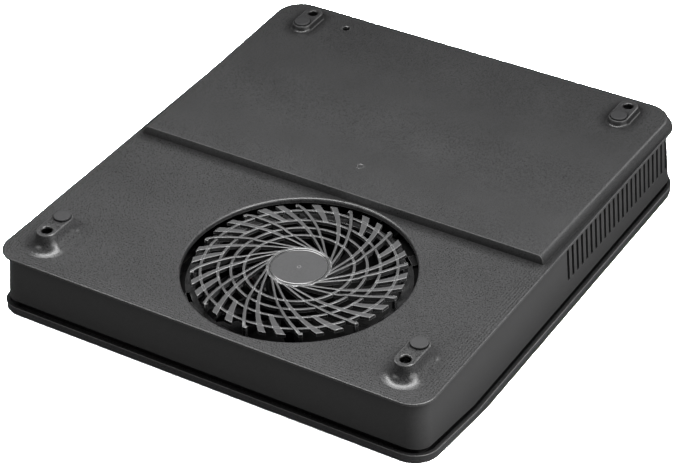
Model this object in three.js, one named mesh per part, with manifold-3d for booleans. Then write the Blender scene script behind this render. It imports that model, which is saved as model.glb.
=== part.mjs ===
// A laptop cooling pad, lying on its laptop platform with its bottom cover facing up.
// Millimetres, +Z up. X runs across the pad, and Y from the user's edge to the rear edge.
// Inside the pad group, Z is measured from the flat face of the bottom cover.
import * as THREE from "three";
import { mergeVertices } from "three/addons/utils/BufferGeometryUtils.js";
import Module from "manifold-3d";

const wasm = await Module();
wasm.setup();

// ---------------------------------------------------------------- driving dimensions
const coverWidth = 273;
const coverDepth = 308;
const frontRadius = 14;
const rearRadius = 18;
const coverThickness = 1.8;
const fit = 0.3;

const platformDepth = 47.5;
const lipHeight = 5.3;
const lipProud = 1;
const lipTopRear = -40.2;
const lipTopFront = -32.8;
const deckThickness = 2.4;
const frontY = -coverDepth / 2 - lipProud;
const bendY = frontY + 58;

const wallInset = 4;
const wallDraft = 2 / 28.7;
const wallThickness = 2.2;
const shadowGap = 2.6;

const stepY = -15.7;
const panelFrontHeight = 5.2;
const panelRearHeight = 6;
const panelSkin = 1.9;

const fanX = 18;
const fanY = -82.1;
const openingRadius = 64.8;
const fanSize = 120;
const fanHeight = 25;
const fanTop = -9.8;
const fanBottom = fanTop - fanHeight;
const fanHolePitch = 105;
const fanBoreRadius = 58.2;
const motorRadius = 19;
const motorBaseTop = fanBottom + 2.4;
const bladeCount = 7;

const footTop = 9.5;
const footRadius = 5.5;
const footPadRadius = 4.9;
const footPadProud = 1;
const screwRecessRadius = 2.8;
const screwHoleRadius = 1.7;
const frontFoot = { end: "front", x: 113.8, screwY: -132.2, padY: -118, base: 0, flare: 5 };
const rearFoot = { end: "rear", x: 108.6, screwY: 136.5, padY: 124, base: 5.4, flare: 1.8 };

const ventCount = 23;
const ventPitch = 5.68;
const ventWidth = 2.8;
const ventTop = -4;
const ventBottom = -27.5;
const firstVentY = 12.7;

const airSlotCount = 12;
const airSlotPitch = 14;
const airSlotRadius = 3;
const airSlotFrontY = -70;
const airSlotRearY = 95;

const socketX = -62;
const switchX = -36;
const inletZ = -15;
const inletHalfHeight = 2.2;
const switchTravel = 6;
const boardTop = inletZ - inletHalfHeight - fit;
const boardFrontY = 124;
const leadRadius = 0.8;

// ---------------------------------------------------------------- materials
const plastic = (color, roughness) => new THREE.MeshStandardMaterial({ color, roughness, metalness: 0 });
const metal = (color, roughness) => new THREE.MeshStandardMaterial({ color, roughness, metalness: 1 });
const coverGrey = plastic(0x4a4a4b, 0.55);
const wallGrey = plastic(0x3c3c3e, 0.4);
const shellGrey = plastic(0x464648, 0.45);
const grilleBlack = plastic(0x2a2a2b, 0.3);
const fanBlack = plastic(0x161617, 0.45);
const rubberGrey = plastic(0x3a3a3b, 0.85);
const socketBlack = plastic(0x121212, 0.6);
const boardGreen = plastic(0x1d5a34, 0.5);
const leadRed = plastic(0xa01818, 0.5);
const leadBlack = plastic(0x151515, 0.5);
const steel = metal(0xb4b4b8, 0.35);
const darkSteel = metal(0x2e2e30, 0.5);
const copper = metal(0xb4622c, 0.35);
const bronze = metal(0x9a7440, 0.45);
const ferrite = plastic(0x38383a, 0.7);

// ---------------------------------------------------------------- outlines in plan
// An arc's points, angles in degrees.
function arc(cx, cy, radius, from, to, steps) {
  return Array.from({ length: steps + 1 }, (_, i) => {
    const a = THREE.MathUtils.degToRad(from + ((to - from) * i) / steps);
    return new THREE.Vector2(cx + radius * Math.cos(a), cy + radius * Math.sin(a));
  });
}

function circle(cx, cy, radius, steps) {
  return arc(cx, cy, radius, 0, 360 - 360 / steps, steps - 1);
}

// A rectangle whose near and far corners have their own radii.
function roundedBox(x0, y0, x1, y1, nearRadius, farRadius, steps = 5) {
  return [
    ...arc(x1 - nearRadius, y0 + nearRadius, nearRadius, -90, 0, steps),
    ...arc(x1 - farRadius, y1 - farRadius, farRadius, 0, 90, steps),
    ...arc(x0 + farRadius, y1 - farRadius, farRadius, 90, 180, steps),
    ...arc(x0 + nearRadius, y0 + nearRadius, nearRadius, 180, 270, steps),
  ];
}

// The pad's outline, moved inwards by an inset or outwards by a negative one.
function padOutline(inset, steps = 5) {
  const x = coverWidth / 2 - inset;
  const y = coverDepth / 2 - inset;
  return roundedBox(-x, -y, x, y, frontRadius - inset, rearRadius - inset, steps);
}

// A straight-sided slot with round ends, its long side along Y.
function stadium(cx, y0, y1, radius, steps = 6) {
  return [...arc(cx, y1, radius, 0, 180, steps), ...arc(cx, y0, radius, 180, 360, steps)];
}

// ---------------------------------------------------------------- solids
// A prism over an outline, between two heights.
function prism(points, z0, z1, holes = []) {
  const shape = new THREE.Shape(points);
  shape.holes = holes.map((hole) => new THREE.Path([...hole].reverse()));
  const made = new THREE.ExtrudeGeometry(shape, { depth: z1 - z0, bevelEnabled: false });
  return made.translate(0, 0, z0);
}

const cylinder = (cx, cy, radius, z0, z1, steps) => prism(circle(cx, cy, radius, steps), z0, z1);

// A prism across the pad's whole width, over a side profile of [y, z] points.
function acrossPad(profile) {
  const margin = 10;
  const shape = new THREE.Shape(profile.map(([y, z]) => new THREE.Vector2(y, z)));
  const made = new THREE.ExtrudeGeometry(shape, { depth: coverWidth + 2 * margin, bevelEnabled: false });
  made.translate(0, 0, -coverWidth / 2 - margin);
  return made.applyMatrix4(new THREE.Matrix4().set(0, 0, 1, 0, 1, 0, 0, 0, 0, 1, 0, 0, 0, 0, 0, 1));
}

// The triangles of a skin over rings that all have the same number of points.
function skinIndex(ringCount, count) {
  const index = [];
  for (let s = 0; s + 1 < ringCount; s++) {
    for (let i = 0; i < count; i++) {
      const a = s * count + i;
      const b = s * count + ((i + 1) % count);
      index.push(a, b, b + count, a, b + count, a + count);
    }
  }
  return index;
}

function indexed(rings, index) {
  const made = new THREE.BufferGeometry();
  const position = rings.flat().flatMap((p) => [p.x, p.y, p.z]);
  made.setAttribute("position", new THREE.Float32BufferAttribute(position, 3));
  made.setIndex(index);
  return made;
}

// A skin over stacked plan outlines, closed by a flat face at both ends.
function loft(rings) {
  const index = skinIndex(rings.length, rings[0].length);
  const flat = rings[0].map((p) => new THREE.Vector2(p.x, p.y));
  const last = (rings.length - 1) * flat.length;
  for (const [a, b, c] of THREE.ShapeUtils.triangulateShape(flat, [])) {
    index.push(a, c, b, last + a, last + b, last + c);
  }
  return indexed(rings, index);
}

// A skin over thin rings that stand up along a blade, closed by a strip at both ends.
function bladeSkin(rings) {
  const count = rings[0].length;
  const index = skinIndex(rings.length, count);
  const last = (rings.length - 1) * count;
  for (let i = 0; i < count / 2 - 1; i++) {
    const j = count - 1 - i;
    index.push(i, j, i + 1, i + 1, j, j - 1);
    index.push(last + i, last + i + 1, last + j, last + i + 1, last + j - 1, last + j);
  }
  return indexed(rings, index);
}

// A plan outline lifted to one height, or to a height for each point.
function ring(points, height) {
  return points.map((p) => new THREE.Vector3(p.x, p.y, typeof height === "number" ? height : height(p)));
}

function box(x0, y0, z0, x1, y1, z1) {
  const made = new THREE.BoxGeometry(x1 - x0, y1 - y0, z1 - z0);
  return made.translate((x0 + x1) / 2, (y0 + y1) / 2, (z0 + z1) / 2);
}

// A body of revolution about a vertical axis, over a closed profile of [radius, z] points.
function turned(cx, cy, profile, steps) {
  const points = [...profile, profile[0]].map(([r, z]) => new THREE.Vector2(r, z));
  return new THREE.LatheGeometry(points, steps).rotateX(Math.PI / 2).translate(cx, cy, 0);
}

// A quarter turn about the vertical, repeated.
const quarter = (geometry, turns) => geometry.rotateZ((turns * Math.PI) / 2);

function solidOf(geometry) {
  const bare = geometry.clone();
  bare.deleteAttribute("normal");
  bare.deleteAttribute("uv");
  const merged = mergeVertices(bare, 1e-4);
  const vertProperties = new Float32Array(merged.attributes.position.array);
  const triVerts = new Uint32Array(merged.index.array);
  return new wasm.Manifold(new wasm.Mesh({ numProp: 3, vertProperties, triVerts }));
}

function geometryOf(solid) {
  const mesh = solid.getMesh();
  const made = new THREE.BufferGeometry();
  made.setAttribute("position", new THREE.BufferAttribute(new Float32Array(mesh.vertProperties), 3));
  made.setIndex(new THREE.BufferAttribute(new Uint32Array(mesh.triVerts), 1));
  return made;
}

const join = (...parts) => geometryOf(parts.map(solidOf).reduce((a, b) => a.add(b)));
const cut = (base, ...tools) => geometryOf(tools.map(solidOf).reduce((a, b) => a.subtract(b), solidOf(base)));
const common = (a, b) => geometryOf(solidOf(a).intersect(solidOf(b)));

const pad = new THREE.Group();
pad.position.z = platformDepth;

function addPart(name, geometry, material, parent = pad) {
  const shown = geometry.index ? geometry.toNonIndexed() : geometry;
  shown.computeVertexNormals();
  const mesh = new THREE.Mesh(shown, material);
  mesh.name = name;
  parent.add(mesh);
}

// A layer that follows the lip's upper edge, which rises from the bend towards the user's edge.
function alongLip(rise, thickness) {
  const reach = coverDepth / 2 + 20;
  const slope = (lipTopFront - lipTopRear) / (bendY - frontY);
  const front = lipTopFront + rise + slope * (reach + frontY);
  const rear = lipTopRear + rise;
  return acrossPad([
    [-reach, front],
    [bendY, rear],
    [reach, rear],
    [reach, rear + thickness],
    [bendY, rear + thickness],
    [-reach, front + thickness],
  ]);
}

const feet = [frontFoot, rearFoot].flatMap((foot) => [-1, 1].map((side) => ({ ...foot, x: side * foot.x })));
const holeOffsets = [-fanHolePitch / 2, fanHolePitch / 2];
const fanHoles = holeOffsets.flatMap((dx) => holeOffsets.map((dy) => [fanX + dx, fanY + dy]));

// ---------------------------------------------------------------- bottom cover
// A thin lid with a raised rear panel, the fan opening, and the bosses of the four feet.
function footBoss({ x, screwY, padY, base, flare }) {
  const waist = base + (footTop - base) * 0.45;
  const [y0, y1] = [screwY, padY].sort((a, b) => a - b);
  return loft([
    ring(stadium(x, y0, y1, footRadius + flare), base - 0.8),
    ring(stadium(x, y0, y1, footRadius + flare * 0.75), base + 0.6),
    ring(stadium(x, y0, y1, footRadius + flare * 0.2), waist),
    ring(stadium(x, y0, y1, footRadius), footTop),
  ]);
}

// An outline whose sides run out from the step towards the rear corners.
function panelOutline(front, rear, inset, spread, radius) {
  const side = coverWidth / 2 - inset;
  const right = [
    new THREE.Vector2(side, front),
    ...arc(side + spread - radius, rear - radius, radius, 0, 90, 6),
  ];
  return [...right, ...right.map((p) => new THREE.Vector2(-p.x, p.y)).reverse()];
}

// The raised panel's block with its sloping sides, or the hollow inside it.
function raisedPanel(shrink) {
  const rear = coverDepth / 2;
  const slope = (panelRearHeight - panelFrontHeight) / (rear - stepY);
  const foot = panelOutline(stepY + shrink, rear - 0.4 - shrink, 3.7 + shrink, 3.3, rearRadius - shrink);
  const top = panelOutline(stepY + 1 + shrink, rear - 4 - shrink, 7.4 + shrink, 1.9, rearRadius - 4 - shrink);
  const height = (p) => panelFrontHeight + slope * (p.y - stepY) - shrink;
  return loft([ring(foot, -1 - shrink), ring(foot, -shrink), ring(top, height)]);
}

const opening = cylinder(fanX, fanY, openingRadius, -7, 4, 48);
const openingRim = common(
  cylinder(fanX, fanY, openingRadius + 2, -3, -1, 48),
  prism(padOutline(wallInset + wallThickness + 0.4), -4, 0),
);
const coverBody = join(prism(padOutline(0), -coverThickness, 0), raisedPanel(0));
// A rib inside the side frame locates the cover. It reaches up to the cover's skin all round.
const locatingRib = common(
  prism(padOutline(wallInset + wallThickness + 0.8), -6, 10, [padOutline(wallInset + wallThickness + 2.4)]),
  join(coverBody, prism(padOutline(1), -6, -1)),
);
const rearColumns = feet
  .filter((foot) => foot.base > 0)
  .map((foot) => cylinder(foot.x, foot.screwY, 4.6, -coverThickness, foot.base, 12));
const screwHoles = feet.flatMap((foot) => [
  cylinder(foot.x, foot.screwY, screwRecessRadius, 1, footTop + 1, 14),
  cylinder(foot.x, foot.screwY, screwHoleRadius, -coverThickness - 1, 2, 10),
]);
const fanPosts = fanHoles.map(([x, y]) => cylinder(x, y, 4, -7.9, -1, 10));
const fanPilots = fanHoles.map(([x, y]) => cylinder(x, y, 1.6, -9, -2.4, 8));
const testHole = cylinder(-84.1, 135.8, 2.3, 0, 9, 12);
addPart(
  "bottom_cover",
  cut(
    join(
      cut(coverBody, raisedPanel(panelSkin)),
      openingRim,
      locatingRib,
      ...fanPosts,
      ...feet.map(footBoss),
      ...rearColumns,
    ),
    opening,
    ...screwHoles,
    ...fanPilots,
    testHole,
  ),
  coverGrey,
);

// ---------------------------------------------------------------- foot pads and case screws
for (const foot of feet) {
  const place = `${foot.end}_${foot.x < 0 ? "left" : "right"}`;
  const bottom = footTop + fit;
  const top = bottom + footPadProud;
  const padProfile = [
    [0, bottom],
    [footPadRadius, bottom],
    [footPadRadius, top - 0.4],
    [footPadRadius - 0.4, top],
    [0, top],
  ];
  const seat = 1 + fit;
  const screwProfile = [
    [0, -14],
    [1.2, -14],
    [1.4, -12],
    [1.4, seat],
    [2.4, seat],
    [2.4, seat + 1.3],
    [1.6, seat + 2.1],
    [0, seat + 2.1],
  ];
  addPart(`foot_pad_${place}`, turned(foot.x, foot.padY, padProfile, 16), rubberGrey);
  addPart(`case_screw_${place}`, turned(foot.x, foot.screwY, screwProfile, 10), steel);
}

// ---------------------------------------------------------------- fan grille
// Spiral ribs cross concentric rings, and legs drop from every third rib to a clamping ring.
const grilleRings = [53.7, 44.2, 37.1, 30];
const ringHalfWidth = 1;
const hubRadius = 18;
const ribCount = 36;
const ribTipRadius = 59.2;
const ribTipAngle = 2.9;
const ribWidths = [1.9, 3.3, 4];
const shortRibStart = grilleRings[1];
const clampTop = -8.2;
const clampBottom = -9.5;
const tangentRadius = 17;

// A rib leaves the hub almost at a tangent and then winds outwards, in degrees at a radius.
function ribTurn(radius) {
  const tangent = THREE.MathUtils.radToDeg(Math.acos(tangentRadius / radius));
  return 0.706 * tangent + 0.421 * (radius - tangentRadius);
}

function ribPoint(number, radius) {
  const step = 360 / ribCount;
  const degrees = ribTipAngle + number * step + ribTurn(radius) - ribTurn(ribTipRadius);
  const angle = THREE.MathUtils.degToRad(degrees);
  return new THREE.Vector2(fanX + radius * Math.cos(angle), fanY + radius * Math.sin(angle));
}

function grilleRib(number, radii, width, z0, z1) {
  const edge = (offset) =>
    radii.map((radius) => {
      const here = ribPoint(number, radius);
      const along = ribPoint(number, radius + 0.5).sub(here).normalize();
      return here.add(new THREE.Vector2(-along.y * offset, along.x * offset));
    });
  return prism([...edge(-width / 2), ...edge(width / 2).reverse()], z0, z1);
}

function annulus(outer, inner, z0, z1, steps) {
  return prism(circle(fanX, fanY, outer, steps), z0, z1, [circle(fanX, fanY, inner, steps)]);
}

const hubProfile = [
  [0, -2],
  [hubRadius, -2],
  [hubRadius, 0.6],
  [15.6, 0.9],
  [15.2, -0.4],
  [14.6, -0.4],
  [14.4, 0.5],
  [0, 0.7],
];
const grilleRibs = Array.from({ length: ribCount }, (_, i) => {
  const isShort = i % 3 === 2;
  const radii = isShort ? [shortRibStart, 52, ribTipRadius] : [17.5, 20, 25, 35, 47, ribTipRadius];
  return grilleRib(i, radii, ribWidths[i % 3], -2, 0);
});
const grilleLegs = Array.from({ length: ribCount / 3 }, (_, i) =>
  grilleRib(3 * i, [ribTipRadius - 2, ribTipRadius], ribWidths[0], clampBottom + 0.3, -1),
);
const grilleEars = fanHoles.map(([x, y]) =>
  box(60, -4.5, clampBottom, 76, 4.5, clampTop)
    .rotateZ(Math.atan2(y - fanY, x - fanX))
    .translate(fanX, fanY, 0),
);
const earHoles = fanHoles.map(([x, y]) => cylinder(x, y, 1.9, clampBottom - 1, clampTop + 1, 8));
addPart(
  "fan_grille",
  cut(
    join(
      turned(fanX, fanY, hubProfile, 24),
      ...grilleRings.map((r) => annulus(r + ringHalfWidth, r - ringHalfWidth, -2, 0, 24)),
      ...grilleRibs,
      ...grilleLegs,
      annulus(62.5, 56.8, clampBottom, clampTop, 24),
      ...grilleEars,
    ),
    ...earHoles,
  ),
  grilleBlack,
);

// ---------------------------------------------------------------- side frame
// The drafted wall all round, with a row of vents at each side and two openings at the rear.
const wallOutsideInset = (z) => wallInset + wallDraft * (z + coverThickness);
const wallLayer = (extra, z) => ring(padOutline(wallOutsideInset(z) + extra), z);
const wallTop = -coverThickness - fit;
const wallBottom = lipTopRear - 2;
const wallInnerY = coverDepth / 2 - wallOutsideInset(inletZ) - wallThickness;
const vents = Array.from({ length: ventCount }, (_, i) => {
  const y = firstVentY + i * ventPitch;
  return box(-coverWidth, y - ventWidth / 2, ventBottom, coverWidth, y + ventWidth / 2, ventTop);
});
function rearOpening(x, width, height) {
  const [dx, dz] = [width / 2, height / 2];
  return box(x - dx, wallInnerY - 6, inletZ - dz, x + dx, coverDepth, inletZ + dz);
}
addPart(
  "side_frame",
  cut(
    loft([wallLayer(0, wallBottom), wallLayer(0, wallTop)]),
    loft([wallLayer(wallThickness, wallBottom - 1), wallLayer(wallThickness, wallTop + 1)]),
    alongLip(shadowGap - 30, 30),
    ...vents,
    rearOpening(socketX, 9.2, 5.2),
    rearOpening(switchX, switchTravel + 4.6, 4.4),
  ),
  wallGrey,
);

// ---------------------------------------------------------------- top shell
// A shallow tray whose lip stands out round the wall. Its front bends towards the bottom cover.
const tray = common(prism(padOutline(-lipProud), -60, 0), alongLip(-lipHeight, lipHeight));
const trayInside = common(prism(padOutline(1.4), -60, 0), alongLip(deckThickness - lipHeight, 20));
const trayRib = cut(
  common(prism(padOutline(5.4), -60, 0), alongLip(1 - lipHeight, lipHeight + 7)),
  prism(padOutline(7.2), -61, 1),
);
const deckTop = lipTopRear - lipHeight + deckThickness;
const casePosts = feet.map((foot) => cylinder(foot.x, foot.screwY, 4, deckTop - 1, -6.5, 10));
const caseScrewPilots = feet.map((foot) => cylinder(foot.x, foot.screwY, screwHoleRadius, -38, 0, 8));
const boardPosts = [-72, -26].map((x) => cylinder(x, boardFrontY + 4, 3, deckTop - 1, boardTop - 1 - fit, 8));
const airSlotOutlines = Array.from({ length: airSlotCount }, (_, i) => {
  const x = (i - (airSlotCount - 1) / 2) * airSlotPitch;
  return stadium(x, airSlotFrontY, airSlotRearY, airSlotRadius, 3);
});
addPart(
  "top_shell",
  cut(
    join(cut(tray, trayInside), trayRib, ...casePosts, ...boardPosts),
    ...caseScrewPilots,
    ...airSlotOutlines.map((outline) => prism(outline, -50, -35)),
  ),
  shellGrey,
);

// ---------------------------------------------------------------- laptop platform and grip pads
const platformTop = lipTopRear - lipHeight - fit;
const platformX = coverWidth / 2 + 0.4;
const gripX = 129;
const platformOutline = roundedBox(-platformX, bendY + 5, platformX, coverDepth / 2 + 0.4, 5, rearRadius);
addPart("laptop_platform", prism(platformOutline, -platformDepth, platformTop, airSlotOutlines), darkSteel);
for (const side of [-1, 1]) {
  const outline = roundedBox(side * gripX - 6, bendY + 0.4, side * gripX + 6, bendY + 4.6, 2, 2, 3);
  addPart(`grip_pad_${side < 0 ? "left" : "right"}`, prism(outline, -platformDepth, platformTop), rubberGrey);
}

// ---------------------------------------------------------------- fan frame
// A square flange with a round bore. Four struts carry the motor base and its bearing tube.
const half = fanSize / 2;
const frameOutline = roundedBox(fanX - half, fanY - half, fanX + half, fanY + half, 6, 6, 3);
const sideRecesses = [0, 1, 2, 3].map((turns) =>
  quarter(box(-26, half - 0.9, fanBottom + 4, 26, half + 1, fanTop - 4), turns).translate(fanX, fanY, 0),
);
const struts = [34, 126, 212, 304].map((degrees) =>
  box(motorRadius - 1, -2, fanBottom, fanBoreRadius + 1, 2, motorBaseTop)
    .rotateZ(THREE.MathUtils.degToRad(degrees))
    .translate(fanX, fanY, 0),
);
const leadHole = { x: fanX - 12, y: fanY + 3.6 };
addPart(
  "fan_frame",
  cut(
    join(
      cut(
        prism(frameOutline, fanBottom, fanTop, [circle(fanX, fanY, fanBoreRadius, 36)]),
        ...sideRecesses,
      ),
      cylinder(fanX, fanY, motorRadius, fanBottom, motorBaseTop, 24),
      cylinder(fanX, fanY, 4.2, fanBottom, -19, 12),
      ...struts,
    ),
    cylinder(fanX, fanY, 2.9, fanBottom + 1, -10, 12),
    cylinder(leadHole.x, leadHole.y, 2.8, fanBottom - 1, motorBaseTop + 1, 10),
    ...fanHoles.map(([x, y]) => cylinder(x, y, 2.1, fanBottom - 1, fanTop + 1, 8)),
  ),
  fanBlack,
);

// ---------------------------------------------------------------- fan rotor
const fanRotor = new THREE.Group();
fanRotor.position.set(fanX, fanY, 0);
pad.add(fanRotor);

// One blade: a bowed, twisted plate from the hub to just inside the bore.
function blade(angle) {
  const stations = [17.6, 30, 43, 56.8];
  const across = [-0.5, -0.17, 0.17, 0.5];
  const rings = stations.map((radius, s) => {
    const pitch = THREE.MathUtils.degToRad(52 - 8 * s);
    const chord = 21 + 5 * s;
    const lean = angle + s * 0.14;
    const face = (offset) =>
      across.map((t) => {
        const bow = offset + 2.4 * (0.25 - t * t);
        const tangent = t * chord * Math.cos(pitch) - bow * Math.sin(pitch);
        const height = -21.5 + t * chord * Math.sin(pitch) + bow * Math.cos(pitch);
        const turn = lean + tangent / radius;
        const z = THREE.MathUtils.clamp(height, -31, -11.6);
        return new THREE.Vector3(radius * Math.cos(turn), radius * Math.sin(turn), z);
      });
    return [...face(-0.8), ...face(0.8).reverse()];
  });
  return bladeSkin(rings);
}

// The cup that carries the blades, with a boss that grips the shaft.
const cupProfile = [
  [0, -15],
  [1.75, -15],
  [1.75, -17],
  [3, -17],
  [3, -13.4],
  [17, -13.4],
  [17, -31.4],
  [18.6, -31.4],
  [18.6, -13],
  [17, -11.4],
  [0, -11.4],
];
const blades = Array.from({ length: bladeCount }, (_, i) => blade((i * 2 * Math.PI) / bladeCount));
addPart("fan_rotor", join(turned(0, 0, cupProfile, 24), ...blades), fanBlack, fanRotor);

const shaftRadius = 1.45;
const shaftProfile = [
  [0, -33],
  [shaftRadius, -33],
  [shaftRadius, -15.3],
  [0, -15.3],
];
addPart("fan_shaft", turned(0, 0, shaftProfile, 12), steel, fanRotor);

const magnetProfile = [
  [15, -30],
  [16.7, -30],
  [16.7, -19.5],
  [15, -19.5],
];
addPart("rotor_magnet", turned(0, 0, magnetProfile, 24), ferrite, fanRotor);

// ---------------------------------------------------------------- fan motor
const bearingProfile = [
  [shaftRadius + 0.1, -32.6],
  [2.6, -32.6],
  [2.6, -19.6],
  [shaftRadius + 0.1, -19.6],
];
addPart("fan_bearing", turned(fanX, fanY, bearingProfile, 12), bronze);

// Stator: a four-pole lamination stack round the bearing tube, with a coil on each pole.
const coreBottom = -28;
const coreTop = -22;
function pole(turns) {
  const shoe = prism([...arc(0, 0, 14.4, -33, 33, 5), ...arc(0, 0, 12, 33, -33, 5)], coreBottom, coreTop);
  return quarter(join(box(3, -1.8, coreBottom, 12.6, 1.8, coreTop), shoe), turns);
}
const core = cut(
  join(cylinder(0, 0, 6.4, coreBottom, coreTop, 16), ...[0, 1, 2, 3].map(pole)),
  cylinder(0, 0, 4.5, coreBottom - 1, coreTop + 1, 16),
);
addPart("stator_core", core.translate(fanX, fanY, 0), darkSteel);
for (const turns of [0, 1, 2, 3]) {
  const winding = cut(
    box(7.2, -4.2, coreBottom - 2.2, 11, 4.2, coreTop + 2.2),
    box(6, -2.1, coreBottom - fit, 12, 2.1, coreTop + fit),
  );
  addPart(`stator_coil_${turns + 1}`, quarter(winding, turns).translate(fanX, fanY, 0), copper);
}
addPart("motor_board", annulus(16, 4.6, motorBaseTop + fit, motorBaseTop + fit + 1, 16), boardGreen);

fanHoles.forEach(([x, y], i) => {
  const seat = fanBottom - fit;
  const profile = [
    [0, seat - 1.8],
    [2.2, seat - 1.8],
    [3, seat - 1],
    [3, seat],
    [1.3, seat],
    [1.3, -3.4],
    [0, -2.6],
  ];
  addPart(`fan_screw_${i + 1}`, turned(x, y, profile, 8), steel);
});

// ---------------------------------------------------------------- power inlet, switch and wiring
// The board lies under the inlet and the switch, just inside the rear wall.
addPart("power_board", box(-78, boardFrontY, boardTop - 1, -20, wallInnerY - 1.2, boardTop), boardGreen);

// A block that is centred on the inlet height, between two depths.
function inletBlock(x, halfWidth, y0, y1, halfHeight) {
  return box(x - halfWidth, y0, inletZ - halfHeight, x + halfWidth, y1, inletZ + halfHeight);
}

const socketBack = wallInnerY - 8;
const socketFront = coverDepth / 2 - wallInset - 0.6;
const socketShell = cut(
  inletBlock(socketX, 3.9, socketBack, socketFront, inletHalfHeight),
  inletBlock(socketX, 3.5, socketBack + 1.4, socketFront + 1, inletHalfHeight - 0.4),
);
const socketTongue = inletBlock(socketX, 2.4, socketBack + 1, socketFront - 1.4, 0.4);
addPart("power_socket", join(socketShell, socketTongue), steel);

const switchFront = wallInnerY - 0.8;
const switchBody = cut(
  inletBlock(switchX, 8, switchFront - 5, switchFront, inletHalfHeight),
  inletBlock(switchX, 6, switchFront - 2.6, switchFront + 1, 1.6),
);
addPart("switch_body", switchBody, socketBlack);

const knobX = switchX - switchTravel / 2;
const switchShoe = inletBlock(knobX, 2.4, switchFront - 2.2, switchFront - 1, 1.3);
const switchKnob = inletBlock(knobX, 1.8, switchFront - 1.4, coverDepth / 2 - 0.8, 1.1);
addPart("switch_slider", join(switchShoe, switchKnob), grilleBlack);

// The two leads run from the power board, along the deck and under the fan, to the motor board.
const leadRoute = [
  [-46, boardFrontY + 4, boardTop + fit + leadRadius],
  [-46, boardFrontY, boardTop + fit + leadRadius],
  [-46, boardFrontY - 4, boardTop - 1],
  [-47, 112, -30],
  [-50, 100, -38.4],
  [-56, 60, -41],
  [-58, 10, -41],
  [-54, -24, -40.6],
  [-40, -50, -38.2],
  [-22, -66, -36.8],
  [leadHole.x - 12, leadHole.y + 3, fanBottom - 1.8],
  [leadHole.x - 1.8, leadHole.y + 0.4, fanBottom - 1.6],
  [leadHole.x - 0.2, leadHole.y, fanBottom - 0.4],
  [leadHole.x, leadHole.y, fanBottom + 1.2],
  [leadHole.x, leadHole.y, motorBaseTop - 0.2],
];

// A smooth route whose steps follow its own points, so that close points give a tight bend.
class LeadRoute extends THREE.CatmullRomCurve3 {
  getSpacedPoints(steps) {
    return this.getPoints(steps);
  }

  getTangentAt(along, target) {
    return this.getTangent(along, target);
  }
}

function lead(side) {
  const points = leadRoute.map(([x, y, z]) => new THREE.Vector3(x + side * 1.1, y + side * 0.6, z));
  const section = new THREE.Shape(circle(0, 0, leadRadius, 6));
  const extrudePath = new LeadRoute(points);
  const steps = 3 * (points.length - 1);
  return new THREE.ExtrudeGeometry(section, { extrudePath, steps, bevelEnabled: false });
}
addPart("fan_lead_red", lead(-1), leadRed);
addPart("fan_lead_black", lead(1), leadBlack);

export default pad;
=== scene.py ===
import math

import bmesh
import bpy
from mathutils import Matrix, Vector
from numpy import interp


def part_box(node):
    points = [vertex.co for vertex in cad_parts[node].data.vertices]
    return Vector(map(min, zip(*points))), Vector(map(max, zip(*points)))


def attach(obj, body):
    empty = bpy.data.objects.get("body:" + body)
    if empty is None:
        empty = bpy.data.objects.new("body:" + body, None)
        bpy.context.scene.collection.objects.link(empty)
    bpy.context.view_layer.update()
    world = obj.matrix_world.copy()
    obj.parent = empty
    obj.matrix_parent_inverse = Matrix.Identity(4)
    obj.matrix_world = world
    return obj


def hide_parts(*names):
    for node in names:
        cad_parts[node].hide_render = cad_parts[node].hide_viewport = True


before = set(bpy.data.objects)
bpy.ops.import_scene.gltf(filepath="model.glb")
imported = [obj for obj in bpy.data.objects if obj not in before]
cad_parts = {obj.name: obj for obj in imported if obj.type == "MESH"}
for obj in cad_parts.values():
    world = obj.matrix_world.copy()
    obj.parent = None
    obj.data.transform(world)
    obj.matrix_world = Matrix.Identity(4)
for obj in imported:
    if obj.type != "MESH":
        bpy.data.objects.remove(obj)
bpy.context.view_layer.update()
MM = 0.001

# ------------------------------------------------------------------ camera
# A long lens looks down on the near right corner of the pad from about two pad lengths away.
# The pad lies underside up, with the user's edge nearest to the camera.
camera_data = bpy.data.cameras.new("camera")
camera_data.lens = 129.82
camera_data.sensor_width = 36
camera_data.shift_x = -0.0043
camera_data.clip_end = 20
camera = bpy.data.objects.new("camera", camera_data)
camera.location = (0.6065, -0.9709, 0.8392)
camera.rotation_euler = [math.radians(angle) for angle in (54.165, 1.271, 31.3)]
bpy.context.scene.collection.objects.link(camera)
bpy.context.scene.camera = camera

# ------------------------------------------------------------------ studio
# A pale table and backdrop that show white, but throw little light back on the pad, as behind black flags.
# A long strip light hangs over the pad, a big low softbox stands at the right, and weak ones stand in front
# and behind.
bpy.context.scene.view_settings.view_transform = "Standard"
bpy.ops.object.select_all(action="DESELECT")
bpy.ops.mesh.primitive_plane_add(size=8)
table = bpy.context.object
table.name = "table"


def node(tree, kind, **inputs):
    """A shader node with some of its inputs set."""
    made = tree.nodes.new("ShaderNode" + kind)
    for name, value in inputs.items():
        made.inputs[name.replace("_", " ")].default_value = value
    return made


def feed(tree, values, sockets):
    """Gives each socket its value: an output that is linked, or a number or colour that is set."""
    for value, socket in zip(values, sockets):
        if isinstance(value, bpy.types.NodeSocket):
            tree.links.new(value, socket)
        else:
            socket.default_value = value


def calc(tree, operation, *values):
    """A maths node over one or two values."""
    made = node(tree, "Math")
    made.operation = operation
    feed(tree, values, made.inputs)
    return made.outputs[0]


table_white = bpy.data.materials.new("table_white")
table_white.use_nodes = True
table_tree = table_white.node_tree
shown_white = node(table_tree, "BsdfDiffuse", Color=(22, 22, 22, 1))
flagged = node(table_tree, "BsdfDiffuse", Color=(0.12, 0.12, 0.12, 1))
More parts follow.
